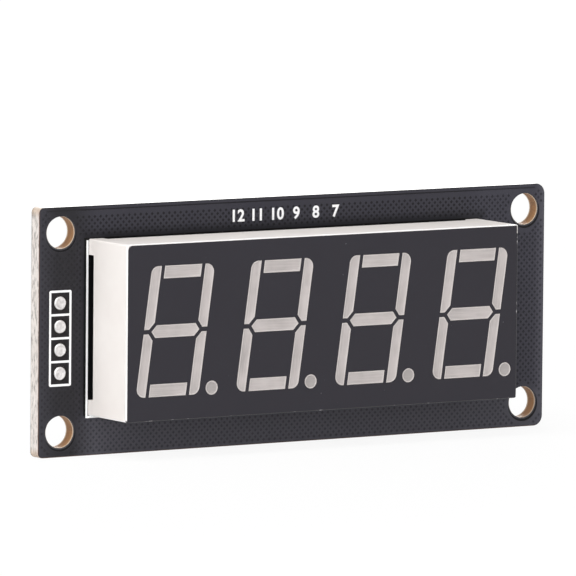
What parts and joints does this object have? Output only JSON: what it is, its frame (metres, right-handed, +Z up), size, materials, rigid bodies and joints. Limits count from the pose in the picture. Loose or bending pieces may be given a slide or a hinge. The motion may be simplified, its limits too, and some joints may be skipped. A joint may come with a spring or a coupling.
{
  "type": "seven segment display",
  "caption": "Seven segment LED display with slanted digits and decimal points, soldered to a flat driver board with corner mounting holes and a row of solder pads.",
  "frame": {"origin": "centre of the four mounting holes, on the laminate's back face", "axes": "+X along the board to the viewer's right, +Z up the digits, -Y towards the viewer, so +Y points out of the board's back"},
  "size_m": [0.0656, 0.0119, 0.0272],
  "materials": {
    "laminate": "cut glass-epoxy laminate",
    "solder_mask": "satin black solder mask",
    "white_ink": "printed ink",
    "housing_plastic": "moulded white plastic",
    "face_film": "matte black film",
    "segment_resin": "milky cast resin",
    "led_die": "semiconductor die",
    "carrier_laminate": "laminate",
    "potting_resin": "poured resin",
    "tinned_wire": "tinned wire",
    "solder": "bright solder",
    "chip_epoxy": "moulded black epoxy",
    "tinned_lead": "matte tin plating",
    "ceramic": "fired ceramic",
    "resistor_coat": "black overglaze"
  },
  "bodies": {
    "root": {"back_potting": "potting_resin", "back_solder_mask": "solder_mask", "capacitor_bodies": "ceramic", "capacitor_ends": "tinned_lead", "carrier_board": "carrier_laminate", "circuit_board": "laminate", "digit_1_decimal_point": "segment_resin", "digit_1_segment_a": "segment_resin", "digit_1_segment_b": "segment_resin", "digit_1_segment_c": "segment_resin", "digit_1_segment_d": "segment_resin", "digit_1_segment_e": "segment_resin", "digit_1_segment_f": "segment_resin", "digit_1_segment_g": "segment_resin", "digit_2_decimal_point": "segment_resin", "digit_2_segment_a": "segment_resin", "digit_2_segment_b": "segment_resin", "digit_2_segment_c": "segment_resin", "digit_2_segment_d": "segment_resin", "digit_2_segment_e": "segment_resin", "digit_2_segment_f": "segment_resin", "digit_2_segment_g": "segment_resin", "digit_3_decimal_point": "segment_resin", "digit_3_segment_a": "segment_resin", "digit_3_segment_b": "segment_resin", "digit_3_segment_c": "segment_resin", "digit_3_segment_d": "segment_resin", "digit_3_segment_e": "segment_resin", "digit_3_segment_f": "segment_resin", "digit_3_segment_g": "segment_resin", "digit_4_decimal_point": "segment_resin", "digit_4_segment_a": "segment_resin", "digit_4_segment_b": "segment_resin", "digit_4_segment_c": "segment_resin", "digit_4_segment_d": "segment_resin", "digit_4_segment_e": "segment_resin", "digit_4_segment_f": "segment_resin", "digit_4_segment_g": "segment_resin", "display_pin_solder": "solder", "display_pins": "tinned_wire", "driver_chip": "chip_epoxy", "driver_chip_leads": "tinned_lead", "face_film": "face_film", "front_solder_mask": "solder_mask", "led_dice": "led_die", "pad_solder": "solder", "reflector_housing": "housing_plastic", "resistor_bodies": "resistor_coat", "resistor_ends": "tinned_lead", "silkscreen_lines": "white_ink", "solder_lands": "solder"}
  },
  "joints": []
}
